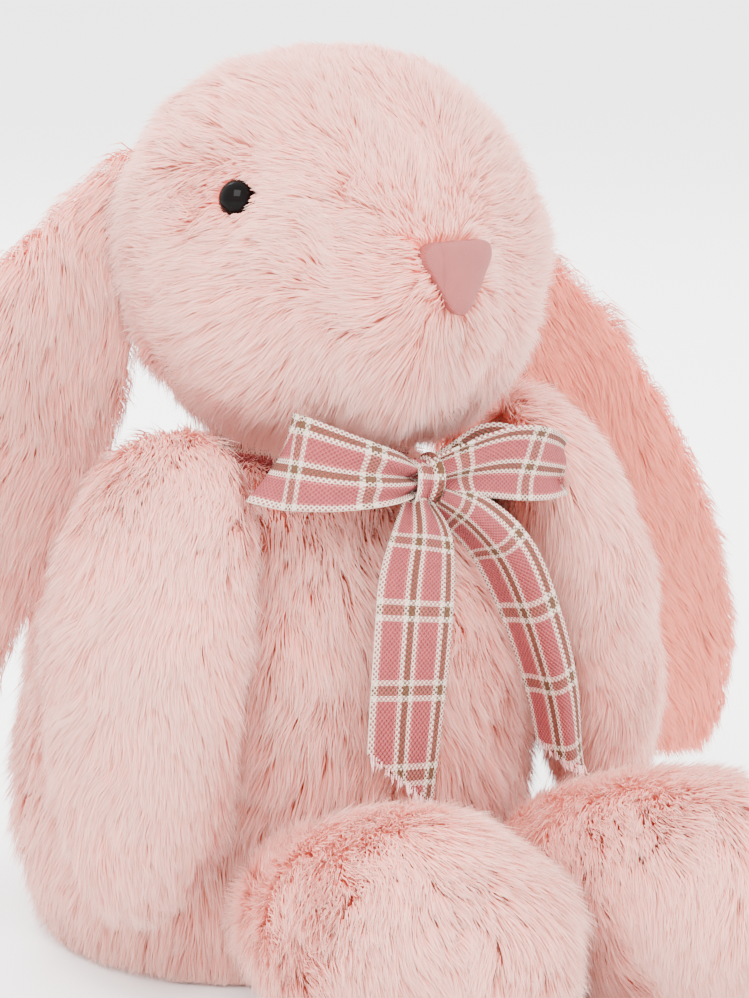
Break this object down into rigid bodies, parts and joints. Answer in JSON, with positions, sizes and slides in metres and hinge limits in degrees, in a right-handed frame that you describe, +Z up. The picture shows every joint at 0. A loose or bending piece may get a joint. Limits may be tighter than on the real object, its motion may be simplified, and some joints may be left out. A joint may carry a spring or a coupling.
{
  "type": "stuffed toy rabbit",
  "caption": "Seated plush rabbit with long lop ears, a domed head, a cloth nose, round arms and feet, and a woven check ribbon tied in a bow at its neck.",
  "frame": {"origin": "middle of the flat seat under the torso", "axes": "+Z up through the head, -Y the way the rabbit faces, +X to the rabbit's left"},
  "size_m": [0.3781, 0.2955, 0.27],
  "materials": {
    "fur": "matte",
    "lining_fur": "matte",
    "filling": "matte",
    "calico": "matte",
    "nose_cloth": "satin",
    "ribbon": "matte",
    "eye": "gloss",
    "washer": "matte"
  },
  "bodies": {
    "torso": {"torso_skin": "fur", "torso_stuffing": "filling", "pellet_bag": "calico", "tail_skin": "fur", "tail_stuffing": "filling", "neck_band": "ribbon", "bow_knot": "ribbon", "bow_loop_left": "ribbon", "bow_loop_right": "ribbon"},
    "neck": {"neck_core": "filling"},
    "head": {"head_skin": "fur", "head_stuffing": "filling", "nose_padding": "filling", "nose_patch": "nose_cloth", "eye_left": "eye", "eye_right": "eye", "eye_washer_left": "washer", "eye_washer_right": "washer"},
    "ear_left": {"ear_back_left": "fur", "ear_lining_left": "lining_fur"},
    "arm_left": {"arm_skin_left": "fur", "arm_stuffing_left": "filling"},
    "leg_left": {"leg_skin_left": "fur", "leg_stuffing_left": "filling"},
    "bow_tail_left": {"bow_tail_left": "ribbon"},
    "ear_right": {"ear_back_right": "fur", "ear_lining_right": "lining_fur"},
    "arm_right": {"arm_skin_right": "fur", "arm_stuffing_right": "filling"},
    "leg_right": {"leg_skin_right": "fur", "leg_stuffing_right": "filling"},
    "bow_tail_right": {"bow_tail_right": "ribbon"}
  },
  "joints": [
    {"name": "neck_turn", "type": "hinge", "parent": "torso", "child": "neck", "pos_m": [0, -0.018, 0.15], "axis": [0, 0, 1], "range_deg": [-10, 10], "stiffness_Nm_per_rad": 0.6},
    {"name": "head_nod", "type": "hinge", "parent": "neck", "child": "head", "pos_m": [0, -0.018, 0.15], "axis": [1, 0, 0], "range_deg": [-8, 3], "stiffness_Nm_per_rad": 1.5},
    {"name": "ear_left_lift", "type": "hinge", "parent": "head", "child": "ear_left", "pos_m": [0.06, 0.012, 0.236], "axis": [0, -1, 0], "range_deg": [0, 70]},
    {"name": "arm_left_lift", "type": "hinge", "parent": "torso", "child": "arm_left", "pos_m": [0.04714, -0.03583, 0.152], "axis": [-0.515, -0.8572, 0], "range_deg": [0, 44]},
    {"name": "leg_left_swing", "type": "hinge", "parent": "torso", "child": "leg_left", "pos_m": [0.0435, -0.093, 0.031], "axis": [-1, 0, 0], "range_deg": [0, 12]},
    {"name": "bow_tail_left_swing", "type": "hinge", "parent": "torso", "child": "bow_tail_left", "pos_m": [0.0145, -0.079, 0.13], "axis": [-1, 0, 0], "range_deg": [0, 60]},
    {"name": "ear_right_lift", "type": "hinge", "parent": "head", "child": "ear_right", "pos_m": [-0.06, 0.012, 0.236], "axis": [0, 1, 0], "range_deg": [0, 70]},
    {"name": "arm_right_lift", "type": "hinge", "parent": "torso", "child": "arm_right", "pos_m": [-0.04714, -0.03583, 0.152], "axis": [-0.515, 0.8572, 0], "range_deg": [0, 44]},
    {"name": "leg_right_swing", "type": "hinge", "parent": "torso", "child": "leg_right", "pos_m": [-0.0435, -0.093, 0.031], "axis": [-1, 0, 0], "range_deg": [0, 12]},
    {"name": "bow_tail_right_swing", "type": "hinge", "parent": "torso", "child": "bow_tail_right", "pos_m": [-0.008, -0.079, 0.13], "axis": [-1, 0, 0], "range_deg": [0, 60]}
  ]
}
